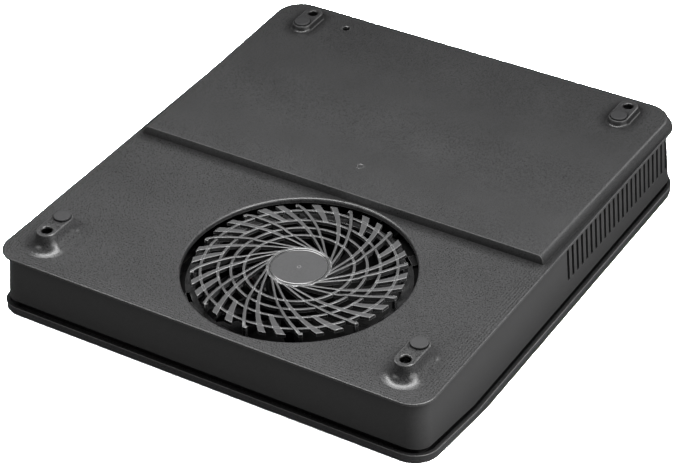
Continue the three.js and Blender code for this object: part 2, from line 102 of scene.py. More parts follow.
# Under the pad, where it is seen through the slots, the table keeps its plain colour.
table_axes = node(table_tree, "SeparateXYZ")
feed(table_tree, [node(table_tree, "TexCoord").outputs["Object"]], table_axes.inputs)
clear_x = calc(table_tree, "GREATER_THAN", calc(table_tree, "ABSOLUTE", table_axes.outputs["X"]), 0.11)
clear_y = calc(table_tree, "GREATER_THAN", calc(table_tree, "ABSOLUTE", table_axes.outputs["Y"]), 0.115)
seen = node(table_tree, "LightPath").outputs["Is Camera Ray"]
seen_clear = calc(table_tree, "MULTIPLY", calc(table_tree, "MAXIMUM", clear_x, clear_y), seen)
table_mix = node(table_tree, "MixShader")
feed(table_tree, [seen_clear, flagged.outputs[0], shown_white.outputs[0]], table_mix.inputs)
feed(table_tree, table_mix.outputs, [table_tree.nodes["Material Output"].inputs["Surface"]])
table.data.materials.append(table_white)

backdrop = bpy.data.worlds.new("backdrop")
backdrop.use_nodes = True
backdrop_tree = backdrop.node_tree
backdrop_glow = node(backdrop_tree, "MapRange", To_Min=0.08, To_Max=1.0)
feed(backdrop_tree, [node(backdrop_tree, "LightPath").outputs["Is Camera Ray"]], backdrop_glow.inputs)
background = backdrop_tree.nodes["Background"]
background.inputs["Color"].default_value = (1, 1, 1, 1)
feed(backdrop_tree, backdrop_glow.outputs, [background.inputs["Strength"]])
bpy.context.scene.world = backdrop


def softbox(name, place, target, width, height, power):
    """A rectangular light that faces a target."""
    light = bpy.data.lights.new(name, "AREA")
    light.shape = "RECTANGLE"
    light.size = width
    light.size_y = height
    light.energy = power
    lamp = bpy.data.objects.new(name, light)
    lamp.location = place
    lamp.rotation_euler = (Vector(target) - Vector(place)).to_track_quat("-Z", "Y").to_euler()
    bpy.context.scene.collection.objects.link(lamp)


softbox("overhead_strip", (0.11, -0.06, 0.35), (0.11, -0.05, 0.04), 0.8, 0.1, 3.7)
softbox("front_softbox", (-0.9, -1.0, 0.7), (0, -0.1, 0), 0.8, 0.4, 3.4)
softbox("rear_softbox", (0.55, 1.2, 0.8), (0, 0, 0.04), 0.5, 0.3, 2)
softbox("right_softbox", (1.3, 0.0, 0.5), (0, 0, 0.03), 1.5, 0.9, 17)

# ------------------------------------------------------------------ bottom cover
# The lid that faces up: moulded in one piece, with a raised rear panel, a rounded opening over the fan and
# four bosses that carry the feet. Its screws go down through the bosses into the shell.
HALF_WIDTH, HALF_DEPTH = 136.5, 154
FRONT_CORNER, REAR_CORNER = 14, 18
BOSS_HEIGHT = 9.5
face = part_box("bottom_cover")[1].z - BOSS_HEIGHT * MM
NEAR = 0.01  # places closer than this, in mm, count as one


def spot(x, y, z):
    """A place given in mm from the middle of the cover's flat face."""
    return Vector((x * MM, y * MM, face + z * MM))


def middle_of(name):
    """The middle of a frame part in plan, in mm."""
    low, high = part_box(name)
    return ((low + high) / 2).xy / MM


fan_x, fan_y = middle_of("fan_shaft")


def edit(piece, kind):
    """Opens a piece in edit mode with nothing selected. kind is VERT, EDGE or FACE."""
    bpy.ops.object.select_all(action="DESELECT")
    piece.select_set(True)
    bpy.context.view_layer.objects.active = piece
    bpy.ops.object.mode_set(mode="EDIT")
    bpy.ops.mesh.select_mode(type=kind)
    bpy.ops.mesh.select_all(action="DESELECT")


def pick(kind, test):
    """Selects the verts or edges whose corners pass a test, in mm from the cover's flat face."""
    mesh = bpy.context.edit_object.data
    shown = bmesh.from_edit_mesh(mesh)
    for item in getattr(shown, kind):
        corners = [item] if kind == "verts" else item.verts
        if test(*[Vector((v.co.x, v.co.y, v.co.z - face)) / MM for v in corners]):
            item.select_set(True)
    bmesh.update_edit_mesh(mesh)


def shift(x, y, z):
    """Moves what is selected, in mm."""
    bpy.ops.transform.translate(value=(x * MM, y * MM, z * MM))


def done():
    """Goes back from edit mode to object mode."""
    bpy.ops.object.mode_set(mode="OBJECT")


def round_edges(piece, test, radius, segments):
    """Bevels the edges whose two ends pass a test. The radius is in mm."""
    edit(piece, "EDGE")
    pick("edges", test)
    bpy.ops.mesh.bevel(offset=radius * MM, segments=segments, affect="EDGES")
    done()


def block(name, low, high):
    """A cube brought to its size and place, from its lowest and highest corner in mm."""
    low, high = spot(*low), spot(*high)
    bpy.ops.object.select_all(action="DESELECT")
    bpy.ops.mesh.primitive_cube_add(size=1, location=(low + high) / 2, scale=high - low)
    piece = bpy.context.object
    piece.name = name
    bpy.ops.object.transform_apply()
    return piece


def rounded_block(name, low, high, front_radius, rear_radius, segments=14):
    """A block whose upright edges are rounded to one radius at the front and another at the rear."""
    piece = block(name, low, high)
    middle = (low[1] + high[1]) / 2
    for radius, front in ((front_radius, True), (rear_radius, False)):

        def corner(a, b):
            return (a - b).xy.length < NEAR and (a.y < middle) == front

        round_edges(piece, corner, radius, segments)
    return piece


def slab(name, inset, bottom, top):
    """A rounded block with the cover's outline, drawn in all round by an inset in mm."""
    half_x, half_y = HALF_WIDTH - inset, HALF_DEPTH - inset
    return rounded_block(name, (-half_x, -half_y, bottom), (half_x, half_y, top),
                         FRONT_CORNER - inset, REAR_CORNER - inset)


def turned(name, centre, profile, steps=64):
    """Draws half a section point by point, as radius and height in mm, and spins it about an upright line."""
    bpy.ops.object.select_all(action="DESELECT")
    bpy.ops.mesh.primitive_plane_add(size=MM)
    piece = bpy.context.object
    piece.name = name
    edit(piece, "VERT")
    bpy.ops.mesh.select_all(action="SELECT")
    bpy.ops.mesh.merge(type="CENTER")
    points = [spot(centre[0] + radius, centre[1], height) for radius, height in profile]
    bpy.ops.transform.translate(value=points[0])
    for here, there in zip(points, points[1:]):
        bpy.ops.mesh.extrude_region_move(TRANSFORM_OT_translate={"value": there - here})
    bpy.ops.mesh.select_all(action="SELECT")
    bpy.ops.mesh.spin(steps=steps, angle=math.tau, center=spot(*centre, 0), axis=(0, 0, 1))
    bpy.ops.mesh.select_all(action="SELECT")
    bpy.ops.mesh.remove_doubles(threshold=1e-6)
    bpy.ops.mesh.normals_make_consistent(inside=False)
    done()
    return piece


def settle(piece, kind, **settings):
    """Adds a modifier and applies it."""
    modifier = piece.modifiers.new("step", kind)
    for name, value in settings.items():
        setattr(modifier, name, value)
    bpy.ops.object.select_all(action="DESELECT")
    bpy.context.view_layer.objects.active = piece
    bpy.ops.object.modifier_apply(modifier=modifier.name)


def combine(piece, tool, operation):
    """Joins a tool to a piece, cuts it away, or keeps what they share."""
    settle(piece, "BOOLEAN", operation=operation, solver="EXACT", object=tool)
    bpy.data.objects.remove(tool)


def panel_block(name, shrink):
    """The raised panel: its sides slope in, and run out from the step towards the rear corners."""
    half = 132.8 - shrink
    piece = block(name, (-half, -15.7 + shrink, -1 - shrink), (half, 153.6 - shrink, 5.2 - shrink))
    edit(piece, "VERT")
    # Each corner's pull: whether it is at the rear and at the top, and its move out, back and up.
    pulls = ((False, True, -2.6, 1.0, 0.0), (True, False, 3.3, 0.0, 0.0), (True, True, 1.0, -2.6, 0.8))
    for side in (-1, 1):
        for at_rear, at_top, outwards, back, up in pulls:
            bpy.ops.mesh.select_all(action="DESELECT")
            pick("verts", lambda v: v.x * side > 0 and (v.y > 30) == at_rear and (v.z > 1.5) == at_top)
            shift(side * outwards, back, up)
    done()

    def rear_corner(a, b):
        return min(a.y, b.y) > 100 and abs(a.x - b.x) < 30 and abs(a.z - b.z) > 4

    round_edges(piece, rear_corner, 16 - shrink, 14)
    return piece


cover = slab("cover", 0, -1.3, 0)
round_edges(cover, lambda a, b: min(a.z, b.z) > -NEAR, 0.6, 4)
# The panel's top edges are rounded, softly along the sides and the rear and tightly at the step.
panel = panel_block("panel", 0)
round_edges(panel, lambda a, b: min(a.z, b.z) > 5 and max(a.y, b.y) > 0, 2.0, 5)
round_edges(panel, lambda a, b: min(a.z, b.z) > 4.2 and max(a.y, b.y) < -12 and abs(a.x - b.x) > 100, 0.8, 4)
# The mould's gate has left a round mark just behind the step.
gate_mark = [(0, 4.5), (2.6, 4.5), (2.6, 5.35), (2.3, 5.5), (1.9, 5.5), (1.6, 5.3), (0, 5.3)]
combine(panel, turned("gate_mark", (1.1, 11), gate_mark, 32), "UNION")
combine(cover, panel, "UNION")
combine(cover, panel_block("panel_hollow", 1.9), "DIFFERENCE")
opening_rim = [(0, -3), (65.6, -3), (65.6, -1), (0, -1)]
combine(cover, turned("opening_rim", (fan_x, fan_y), opening_rim, 128), "UNION")

front_boss = [(0, -1), (13.6, -1), (13.6, 0.04), (11.6, 0.3), (9.8, 1.0), (8.2, 2.2), (7.1, 3.8), (6.45, 5.8),
              (6.0, 8.7), (5.8, 9.25), (5.4, 9.5), (0, 9.5)]
rear_boss = [(0, 4.6), (7.4, 4.6), (7.4, 5.95), (6.9, 6.1), (6.4, 6.55), (6.15, 7.3), (6.0, 8.8), (5.8, 9.25),
             (5.4, 9.5), (0, 9.5)]
screw_recess = [(0, 11), (3.9, 11), (3.9, 9.52), (3.4, 9.35), (3.0, 8.9), (2.85, 8.2), (2.8, 1), (1.7, 1),
                (1.7, -3), (0, -3)]
feet = ("front_left", "front_right", "rear_left", "rear_right")
for place in feet:
    pad_at = middle_of("foot_pad_" + place)
    screw_at = middle_of("case_screw_" + place)
    reach = screw_at.y - pad_at.y
    # The boss is turned about its pad, and then half of it is moved over to the screw.
    boss = turned("boss", pad_at, rear_boss if reach > 0 else front_boss, 48)
    edit(boss, "VERT")
    pick("verts", lambda v: (v.y - pad_at.y) * reach > NEAR * abs(reach))
    shift(0, reach, 0)
    done()
    combine(cover, boss, "UNION")
    combine(cover, turned("screw_recess", screw_at, screw_recess, 32), "DIFFERENCE")

# The opening's edge is rolled over, and its wall goes down to the rim.
opening = [(0, 2), (66.7, 2), (66.7, 0.03), (66.1, -0.02), (65.5, -0.2), (65.1, -0.55), (64.87, -1.0),
           (64.8, -1.6), (64.8, -8), (0, -8)]
combine(cover, turned("opening", (fan_x, fan_y), opening, 128), "DIFFERENCE")
# A small hole with a flared mouth goes through the panel at the rear.
test_hole = [(0, 8), (2.7, 8), (2.7, 5.86), (2.35, 5.5), (2.3, 5), (2.3, 0), (0, 0)]
combine(cover, turned("test_hole", (-84.1, 135.8), test_hole, 24), "DIFFERENCE")


def fresh_material(name):
    """A new material: itself, its node tree, its shader and its object coordinates."""
    material = bpy.data.materials.new(name)
    material.use_nodes = True
    tree = material.node_tree
    place = tree.nodes.new("ShaderNodeTexCoord").outputs["Object"]
    return material, tree, tree.nodes["Principled BSDF"], place


def ramp(tree, value, socket, dark, light, low=0.3, high=0.7):
    """Colours a surface from dark to light as a value goes from low to high."""
    colour = tree.nodes.new("ShaderNodeValToRGB")
    for element, position, shade in zip(colour.color_ramp.elements, (low, high), (dark, light)):
        element.position = position
        element.color = (*shade, 1)
    tree.links.new(value, colour.inputs["Fac"])
    tree.links.new(colour.outputs["Color"], socket)


def scale_to(tree, value, socket, low, high):
    """Feeds a socket with a value that runs from 0.3 to 0.7, spread from low to high."""
    spread = node(tree, "MapRange", From_Min=0.3, From_Max=0.7, To_Min=low, To_Max=high)
    tree.links.new(value, spread.inputs["Value"])
    tree.links.new(spread.outputs["Result"], socket)


def blend_in(tree, skin, amount, grey):
    """Blends a grey into a skin's colour."""
    blend = tree.nodes.new("ShaderNodeMix")
    blend.data_type = "RGBA"
    colour = skin.inputs["Base Color"].links[0].from_socket
    feed(tree, [amount, colour, (grey, grey, grey, 1)], [blend.inputs[i] for i in (0, 6, 7)])
    tree.links.new(blend.outputs[2], skin.inputs["Base Color"])


def paint_edge_highlight(tree, skin, grey, reach):
    """Paints a highlight along a skin's edges: lightens its colour where the surface turns, as though the
    light caught there. The reach is in mm.
    """
    eased = node(tree, "Bevel", Radius=reach * MM)
    eased.samples = 6
    likeness = node(tree, "VectorMath")
    likeness.operation = "DOT_PRODUCT"
    feed(tree, [eased.outputs["Normal"], node(tree, "NewGeometry").outputs["Normal"]], likeness.inputs)
    edge_highlight = node(tree, "MapRange", From_Min=0.997, From_Max=0.93)
    tree.links.new(likeness.outputs["Value"], edge_highlight.inputs["Value"])
    blend_in(tree, skin, edge_highlight.outputs["Result"], grey)


def paint_corner_shade(tree, skin, reach, power=2.0):
    """Paints shade into a skin's corners, grooves and recesses: darkens its colour where ambient occlusion
    finds it hidden. The reach is in mm.
    """
    openness = node(tree, "AmbientOcclusion", Distance=reach * MM)
    painted_shade = calc(tree, "SUBTRACT", 1.0, calc(tree, "POWER", openness.outputs["AO"], power))
    blend_in(tree, skin, painted_shade, 0.001)


def bump(tree, height, skin, depth, strength=0.6):
    """Roughens a skin by a height. The depth is in mm."""
    relief = node(tree, "Bump", Strength=strength, Distance=depth * MM)
    tree.links.new(height, relief.inputs["Height"])
    tree.links.new(relief.outputs["Normal"], skin.inputs["Normal"])


def noise(tree, place, grain, detail=3.0):
    """Noise with a grain in mm."""
    made = node(tree, "TexNoise", Scale=1 / (grain * MM), Detail=detail, Roughness=0.6)
    tree.links.new(place, made.inputs["Vector"])
    return made.outputs["Fac"]


LINE_PITCH = 1.7


def cover_plastic():
    """Spark-eroded plastic: coarse in front of the step, fine and satin on the panel, with the cutter's lines
    just inside the front part's edge."""
    material, tree, skin, place = fresh_material("cover_plastic")
    skin.inputs["Specular IOR Level"].default_value = 0.55
    split = tree.nodes.new("ShaderNodeSeparateXYZ")
    tree.links.new(place, split.inputs[0])
    # The finish changes over the foot of the panel's step.
    on_panel = node(tree, "MapRange", From_Min=-17 * MM, From_Max=-14 * MM)
    tree.links.new(split.outputs["Y"], on_panel.inputs["Value"])
    on_front = calc(tree, "SUBTRACT", 1.0, on_panel.outputs["Result"])
    # How far in from the rounded edge a point lies.
    straight_x, straight_y = (HALF_WIDTH - FRONT_CORNER) * MM, (HALF_DEPTH - FRONT_CORNER) * MM
    past_x = calc(tree, "SUBTRACT", calc(tree, "ABSOLUTE", split.outputs["X"]), straight_x)
    past_y = calc(tree, "SUBTRACT", calc(tree, "ABSOLUTE", split.outputs["Y"]), straight_y)
    squares = [calc(tree, "POWER", calc(tree, "MAXIMUM", past, 0.0), 2.0) for past in (past_x, past_y)]
    round_part = calc(tree, "SQRT", calc(tree, "ADD", *squares))
    flat_part = calc(tree, "MINIMUM", calc(tree, "MAXIMUM", past_x, past_y), 0.0)
    inwards = calc(tree, "SUBTRACT", FRONT_CORNER * MM, calc(tree, "ADD", round_part, flat_part))
    lines = calc(tree, "SINE", calc(tree, "MULTIPLY", inwards, math.tau / (LINE_PITCH * MM)))
    band = node(tree, "MapRange", From_Min=13 * MM, From_Max=8 * MM)
    tree.links.new(inwards, band.inputs["Value"])
    line_height = calc(tree, "MULTIPLY", calc(tree, "MULTIPLY", lines, band.outputs["Result"]), on_front)

    coarse = noise(tree, place, 0.7)
    fine = noise(tree, place, 0.35)
    clouds = noise(tree, place, 38, 2.0)
    grain = calc(tree, "ADD", calc(tree, "MULTIPLY", coarse, on_front),
                 calc(tree, "MULTIPLY", fine, on_panel.outputs["Result"]))
    mottle = calc(tree, "ADD", calc(tree, "MULTIPLY", grain, 0.9), calc(tree, "MULTIPLY", clouds, 0.1))
    lined = calc(tree, "ADD", mottle, calc(tree, "MULTIPLY", line_height, 0.06))
    ramp(tree, lined, skin.inputs["Base Color"], (0.01, 0.01, 0.01), (0.064, 0.064, 0.065), 0.33, 0.67)
    # Painted highlights along the cover's edges, and strong painted shade in its corners and recesses.
    paint_edge_highlight(tree, skin, 0.11, 0.9)
    paint_corner_shade(tree, skin, 8, 4.0)
    scale_to(tree, grain, skin.inputs["Roughness"], 0.25, 0.35)
    strength = calc(tree, "ADD", calc(tree, "MULTIPLY", on_front, 0.75), 0.25)
    height = calc(tree, "ADD", calc(tree, "MULTIPLY", grain, strength),
                  calc(tree, "MULTIPLY", line_height, 0.12))
    bump(tree, height, skin, 0.035)
    return material


def dress(piece, material, angle=32):
    """Shades a piece smooth between its sharp edges, keeps its flats flat, and gives it its material."""
    bpy.ops.object.select_all(action="DESELECT")
    piece.select_set(True)
    bpy.context.view_layer.objects.active = piece
    bpy.ops.object.shade_smooth_by_angle(angle=math.radians(angle))
    settle(piece, "WEIGHTED_NORMAL", keep_sharp=True)
    piece.data.materials.clear()
    piece.data.materials.append(material)


dress(cover, cover_plastic())
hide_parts("bottom_cover")
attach(cover, "housing")

# ------------------------------------------------------------------ foot pads
# A soft grey disc is glued to each boss beside the screw. Its edge is moulded round, and its top is matt.
pad_section = [(0, 9.8), (4.7, 9.8), (4.9, 9.95), (4.9, 10.3), (4.82, 10.55), (4.6, 10.73), (4.2, 10.8),
               (0, 10.8)]


def rubber(name, dark, light):
    """Matt rubber with a dusty, finely pitted skin."""
    material, tree, skin, place = fresh_material(name)
    skin.inputs["Specular IOR Level"].default_value = 0.35
    pits = noise(tree, place, 0.4)
    ramp(tree, pits, skin.inputs["Base Color"], dark, light)
    scale_to(tree, pits, skin.inputs["Roughness"], 0.62, 0.8)
    bump(tree, pits, skin, 0.05)
    return material


foot_rubber = rubber("foot_rubber", (0.02, 0.02, 0.021), (0.042, 0.042, 0.043))
for place in feet:
    foot_pad = turned("foot_" + place, middle_of("foot_pad_" + place), pad_section, 48)
    dress(foot_pad, foot_rubber)
    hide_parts("foot_pad_" + place)
    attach(foot_pad, "housing")

# ------------------------------------------------------------------ case screws
# A zinc-plated pan-head screw sits at the bottom of each boss. Its head is pressed round, with a cross
# recess.
screw_section = [(0, -14), (0.5, -13.6), (1.2, -13), (1.4, -12), (1.4, 1.3), (2.4, 1.3), (2.4, 2.5),
                 (2.25, 2.95), (1.8, 3.25), (1.1, 3.4), (0, 3.4)]


def metal(name, dark, light, roughness, grain=1.2):
    """Bare metal with small scuffs in its gloss."""
    material, tree, skin, place = fresh_material(name)
    skin.inputs["Metallic"].default_value = 1.0
    scuffs = noise(tree, place, grain, 5.0)
    ramp(tree, scuffs, skin.inputs["Base Color"], dark, light)
    scale_to(tree, scuffs, skin.inputs["Roughness"], roughness - 0.07, roughness + 0.07)
    bump(tree, scuffs, skin, 0.02, 0.3)
    return material


screw_steel = metal("screw_steel", (0.42, 0.42, 0.44), (0.62, 0.62, 0.63), 0.33)
for place in feet:
    x, y = middle_of("case_screw_" + place)
    screw = turned("screw_" + place, (x, y), screw_section, 32)
    combine(screw, block("slot", (x - 1.5, y - 0.3, 2.2), (x + 1.5, y + 0.3, 4)), "DIFFERENCE")
    combine(screw, block("slot", (x - 0.3, y - 1.5, 2.2), (x + 0.3, y + 1.5, 4)), "DIFFERENCE")
    dress(screw, screw_steel)
    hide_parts("case_screw_" + place)
    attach(screw, "housing")

# ------------------------------------------------------------------ fan grille
# One black moulding: spiral ribs fan out from a round hub and cross four rings. Every third rib is a fine one
# that stands proud, and ends in a leg down to the ring that the fan's screws clamp through four ears.
PARKED = -300  # the height, in mm, at which a strip's corners wait to be carried to their places
RIB_TIP = 59.2  # the radius of the ribs' ends
FINE_TIP = 2.9  # where the first fine rib ends, in degrees, with a broad and a short rib after it
RIB_STEP = 10
FAN_SCREWS = 74.25  # the fan's screws stand this far from its middle


def rib_turn(radius):
    """How far a rib has wound on at a radius, in radians: almost at a tangent at first, then steadily."""
    return 0.706 * math.acos(17 / radius) + math.radians(0.421 * (radius - 17))


def ribbon(name, rows):
    """A strip over rows of left and right points, in mm: a plane divided across, whose corners are carried to
    their places two by two."""
    steps = len(rows) - 1
    bpy.ops.object.select_all(action="DESELECT")
    bpy.ops.mesh.primitive_plane_add(size=MM)
    piece = bpy.context.object
    piece.name = name
    edit(piece, "EDGE")
    bpy.ops.mesh.select_all(action="SELECT")
    bpy.ops.transform.resize(value=(steps, 1, 1))
    bpy.ops.transform.translate(value=spot(0, 0, PARKED))
    bpy.ops.mesh.select_all(action="DESELECT")
    pick("edges", lambda a, b: abs(a.y - b.y) < NEAR)
    bpy.ops.mesh.subdivide(number_cuts=steps - 1)
    bpy.ops.mesh.select_mode(type="VERT")
    for i, row in enumerate(rows):
        for side, place in zip((0.5, -0.5), row):
            start = Vector((i - steps / 2, side, PARKED))
            bpy.ops.mesh.select_all(action="DESELECT")
            pick("verts", lambda v: (v - start).length < 10 * NEAR)
            shift(*(Vector(place) - start))
    done()
    return piece


def grille_rib(name, tip_degrees, radii, width, top):
    """A rib whose width and height change along it. Each is a pair of lists: radii and sizes, in mm."""
    rows = []
    for radius in radii:
        angle = math.radians(tip_degrees) + rib_turn(radius) - rib_turn(RIB_TIP)
        sweep = math.atan(radius * (rib_turn(radius + 0.01) - rib_turn(radius - 0.01)) / 0.02)
        half = interp(radius, *width) / 2 / math.cos(sweep) / radius
        row = []
        for edge in (angle + half, angle - half):
            x, y = fan_x + radius * math.cos(edge), fan_y + radius * math.sin(edge)
            row.append((x, y, interp(radius, *top)))
        rows.append(row)
    piece = ribbon(name, rows)
    edit(piece, "FACE")
    bpy.ops.mesh.select_all(action="SELECT")
    bpy.ops.mesh.extrude_region_move(TRANSFORM_OT_translate={"value": (0, 0, -2 * MM)})
    bpy.ops.transform.resize(value=(1, 1, 0), center_override=spot(0, 0, -2))
    bpy.ops.mesh.select_all(action="SELECT")
    bpy.ops.mesh.normals_make_consistent(inside=False)
    done()

    def shoulder(a, b):
        lengths = [(corner.xy - Vector((fan_x, fan_y))).length for corner in (a, b)]
        along = abs(lengths[0] - lengths[1]) > 0.2
        return min(a.z, b.z) > -1 and (along or min(lengths) > RIB_TIP - 0.1)

    round_edges(piece, shoulder, 0.36, 3)
    return piece


def turn_copy(piece, degrees):
    """A copy with its own mesh, turned about the fan's axis."""
    copy = piece.copy()
    copy.data = piece.data.copy()
    bpy.context.scene.collection.objects.link(copy)
    there = Matrix.Translation((fan_x * MM, fan_y * MM, 0))
    copy.data.transform(there @ Matrix.Rotation(math.radians(degrees), 4, "Z") @ there.inverted())
    return copy


def joined(name, pieces):
    """Several pieces made one."""
    bpy.ops.object.select_all(action="DESELECT")
    for piece in pieces:
        piece.select_set(True)
    bpy.context.view_layer.objects.active = pieces[0]
    bpy.ops.object.join()
    pieces[0].name = name
    return pieces[0]


def ring(name, outer, inner, bottom, top, shoulder):
    """A turned ring about the fan's axis, with rounded upper edges."""
    rise = [(1 - math.cos(math.radians(a)), math.sin(math.radians(a))) for a in (0, 30, 60, 90)]
    up = [(outer - shoulder * x, top - shoulder + shoulder * z) for x, z in rise]
    down = [(inner + shoulder * x, top - shoulder + shoulder * z) for x, z in reversed(rise)]
    section = [(outer, bottom), *up, *down, (inner, bottom), (outer, bottom)]
    return turned(name, (fan_x, fan_y), section, 96)


rib_radii = [17.5, 18.2, 19, 20, 21.5, 23.5, 26, 28.5, 31, 34, 36.3, 38, 41, 44, 47, 50, 53, 55.5, 57.5,
             RIB_TIP]
fine_rib = grille_rib("fine_rib", FINE_TIP, rib_radii, ([30, 36, 58], [1.3, 1.5, 1.9]),
                      ([18, 28, 30, 34, 36.5, 55, 58], [0.7, 0.3, 0.1, 0.1, 0.9, 0.9, 0.1]))
broad_rib = grille_rib("broad_rib", FINE_TIP + RIB_STEP, rib_radii,
                       ([28, 31, 34, 41, 50, 56], [1.3, 1.8, 2.1, 2.3, 2.9, 3.5]),
                       ([18, 30, 31], [0.7, 0.1, 0.04]))
short_rib = grille_rib("short_rib", FINE_TIP + 2 * RIB_STEP, [44, 46.5, 49, 52, 55.5, RIB_TIP],
                       ([44, 49, 56], [2.4, 3.2, 4.2]), ([44], [0.02]))
# A leg stands under the tip of each fine rib, and an ear takes each of the fan's screws.
straight_leg = block("leg", (fan_x + RIB_TIP - 2, fan_y - 0.95, -9.2), (fan_x + RIB_TIP, fan_y + 0.95, -0.3))
round_edges(straight_leg, lambda a, b: (a - b).xy.length < NEAR, 0.25, 2)
leg = turn_copy(straight_leg, FINE_TIP)
bpy.data.objects.remove(straight_leg)
ear = block("ear", (fan_x + 60, fan_y - 4.5, -9.5), (fan_x + 77, fan_y + 4.5, -8.2))
round_edges(ear, lambda a, b: (a - b).xy.length < NEAR and a.x > fan_x + 70, 4.2, 8)
ear_hole = turned("ear_hole", (fan_x + FAN_SCREWS, fan_y), [(0, -7), (1.9, -7), (1.9, -11), (0, -11)], 24)
combine(ear, ear_hole, "DIFFERENCE")
grille_parts = [turn_copy(ear, 45 + 90 * i) for i in range(4)]
bpy.data.objects.remove(ear)
for original in (fine_rib, broad_rib, short_rib, leg):
    grille_parts += [turn_copy(original, 3 * RIB_STEP * i) for i in range(12)]
    bpy.data.objects.remove(original)
for radius in (53.7, 44.2, 37.1, 30):
    grille_parts.append(ring("grille_ring", radius + 0.8, radius - 0.8, -2, 0, 0.36))
grille_parts.append(ring("clamp_ring", 62.5, 56.8, -9.5, -8.2, 0.3))
hub_section = [(0, -2), (17.9, -2), (18, -0.2), (17.85, 0.35), (17.4, 0.6), (16.9, 0.6), (16.5, 0.35),
               (16.4, -0.3), (15.9, -0.5), (15.5, -0.3), (15.35, 0.1), (15.0, 0.3), (14.6, 0.35), (1.2, 0.36),
               (1.0, 0.28), (0.8, 0.36), (0, 0.36)]
grille_parts.append(turned("hub", (fan_x, fan_y), hub_section, 96))
grille = joined("grille", grille_parts)


def smooth_plastic(name, dark, light, roughness, grain=0.6, depth=0.03, edge=0.1, specular=0.5, reach=14):
    """Moulded plastic with a polished tool's faint ripple, a little mottle in its colour and gloss, a painted
    highlight along its edges and painted shade in its corners and recesses."""
    material, tree, skin, place = fresh_material(name)
    skin.inputs["Specular IOR Level"].default_value = specular
    fine = noise(tree, place, grain)
    clouds = noise(tree, place, 30, 2.0)
    mottle = calc(tree, "ADD", calc(tree, "MULTIPLY", fine, 0.8), calc(tree, "MULTIPLY", clouds, 0.2))
    ramp(tree, mottle, skin.inputs["Base Color"], dark, light)
    paint_edge_highlight(tree, skin, edge, 0.4)
    paint_corner_shade(tree, skin, reach)
    scale_to(tree, mottle, skin.inputs["Roughness"], roughness - 0.05, roughness + 0.05)
    bump(tree, fine, skin, depth)
    return material


# The grille gets a strong painted highlight along its rib edges, and painted shade with a long reach that
# darkens the rings and legs below the ribs.
grille_plastic = smooth_plastic("grille_plastic", (0.055, 0.055, 0.056), (0.08, 0.08, 0.081), 0.2,
                                depth=0.012, edge=0.4, specular=0.9, reach=30)
dress(grille, grille_plastic, 36)
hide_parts("fan_grille")
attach(grille, "housing")

# ------------------------------------------------------------------ side frame
# The drafted wall that stands all round between the shell and the cover, moulded smooth, with a row of
# upright vents at each side and two openings at the rear for the power inlet and the switch.
LIP_REAR, BEND_Y, LIP_SLOPE = -40.2, -97, 7.4 / 58
TOOL_X, TOOL_Y = 160, 175  # how far the cutting tools reach, past the pad's sides and ends
WALL_DRAFT = 2.8  # how much wider each side of the wall is at the shell
FIRST_VENT, VENT_WIDTH, VENT_PITCH = 12.7, 2.8, 5.68


def lip_layer(name, low, high):
    """A slab that follows the shell's lip: level at the rear, and rising from the bend to the user's edge."""
    piece = block(name, (-TOOL_X, -TOOL_Y, LIP_REAR + low), (TOOL_X, TOOL_Y, LIP_REAR + high))
    edit(piece, "FACE")
    bpy.ops.mesh.select_all(action="SELECT")
    bpy.ops.mesh.bisect(plane_co=spot(0, BEND_Y, 0), plane_no=(0, 1, 0))
    bpy.ops.mesh.select_mode(type="VERT")
    bpy.ops.mesh.select_all(action="DESELECT")
    pick("verts", lambda v: v.y < 1 - TOOL_Y)
    shift(0, 0, LIP_SLOPE * (TOOL_Y + BEND_Y))
    done()
    return piece


def wall_block(name, inset, top):
    """A slab that widens from the cover down to the shell, as the wall's draft does."""
    half_x, half_y = HALF_WIDTH - inset, HALF_DEPTH - inset
    piece = slab(name, inset, -42, top)
    edit(piece, "VERT")
    pick("verts", lambda v: v.z < -40)
    bpy.ops.transform.resize(value=((half_x + WALL_DRAFT) / half_x, (half_y + WALL_DRAFT) / half_y, 1),
                             center_override=spot(0, 0, -42))
    done()
    return piece


def soften(piece, width, segments=2, angle=40):
    """Takes the sharp edges off with a narrow bevel."""
    settle(piece, "BEVEL", width=width * MM, segments=segments, limit_method="ANGLE",
           angle_limit=math.radians(angle), use_clamp_overlap=True)


wall = wall_block("wall", 4, -2.1)
combine(wall, wall_block("wall_inside", 5.5, 0), "DIFFERENCE")
combine(wall, lip_layer("wall_foot", -20, 2.6), "DIFFERENCE")
vents = block("vents", (-TOOL_X, FIRST_VENT - VENT_WIDTH / 2, -27.5),
              (TOOL_X, FIRST_VENT + VENT_WIDTH / 2, -4))
settle(vents, "ARRAY", count=23, use_relative_offset=False, use_constant_offset=True,
       constant_offset_displace=(0, VENT_PITCH * MM, 0))
combine(wall, vents, "DIFFERENCE")
inlet_hole = rounded_block("inlet_hole", (-66.6, 140, -17.6), (-57.4, 160, -12.4), 0.3, 0.3, 2)
combine(wall, inlet_hole, "DIFFERENCE")
switch_hole = rounded_block("switch_hole", (-41.3, 140, -17.2), (-30.7, 160, -12.8), 0.3, 0.3, 2)
combine(wall, switch_hole, "DIFFERENCE")
soften(wall, 0.22)
# Painted shade with a long reach darkens the wall towards the shell's lip and under the cover's rim, and a
# painted highlight lightens its edges.
wall_plastic = smooth_plastic("wall_plastic", (0.046, 0.046, 0.0465), (0.064, 0.064, 0.0645), 0.34, 0.8,
                              depth=0.015, edge=0.2, reach=45)
dress(wall, wall_plastic, 36)
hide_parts("side_frame")
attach(wall, "housing")

